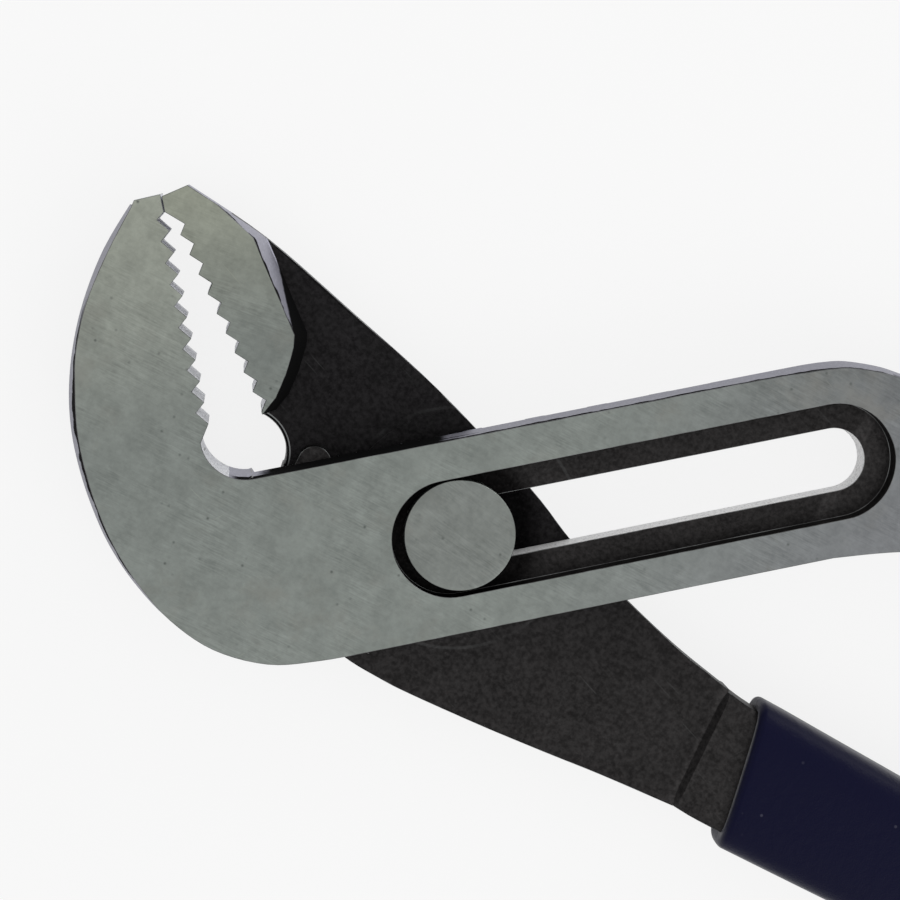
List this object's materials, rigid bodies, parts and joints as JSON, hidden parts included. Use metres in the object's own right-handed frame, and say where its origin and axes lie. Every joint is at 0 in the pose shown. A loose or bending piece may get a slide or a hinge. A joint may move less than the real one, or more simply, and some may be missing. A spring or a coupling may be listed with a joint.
{
  "type": "water pump pliers",
  "caption": "Water pump pliers whose rear jaw slides along a slotted arm, sets in arc grooves and turns on a flat-headed bolt.",
  "frame": {"origin": "on the pivot's axis at the outer face of the nut, with the pivot in the seat nearest the jaws and the jaw tips closed", "axes": "+X along the handles towards their ends, +Z along the pivot from the nut to the ground front face, +Y across the tool towards the slotted arm's handle"},
  "size_m": [0.2476, 0.0763, 0.0181],
  "materials": {
    "ground_steel": "drop forged, ground on its front face, dark elsewhere",
    "black_steel": "drop forged and blackened, jaw ground on its front face",
    "bolt_steel": "head ground flush with the arm",
    "nut_steel": "blackened",
    "grip": "dipped soft plastic, satin, dark navy"
  },
  "bodies": {
    "front": {"front_lever": "ground_steel", "front_grip": "grip"},
    "pivot": {"pivot_bolt": "bolt_steel", "pivot_nut": "nut_steel"},
    "rear": {"rear_lever": "black_steel", "rear_grip": "grip"}
  },
  "joints": [
    {"name": "seat_slide", "type": "slide", "parent": "front", "child": "pivot", "axis": [0.809, 0.5878, 0], "range_m": [0, 0.0528]},
    {"name": "jaw_hinge", "type": "hinge", "parent": "pivot", "child": "rear", "pos_m": [0, 0, 0], "axis": [0, 0, -1], "range_deg": [0, 42]}
  ]
}
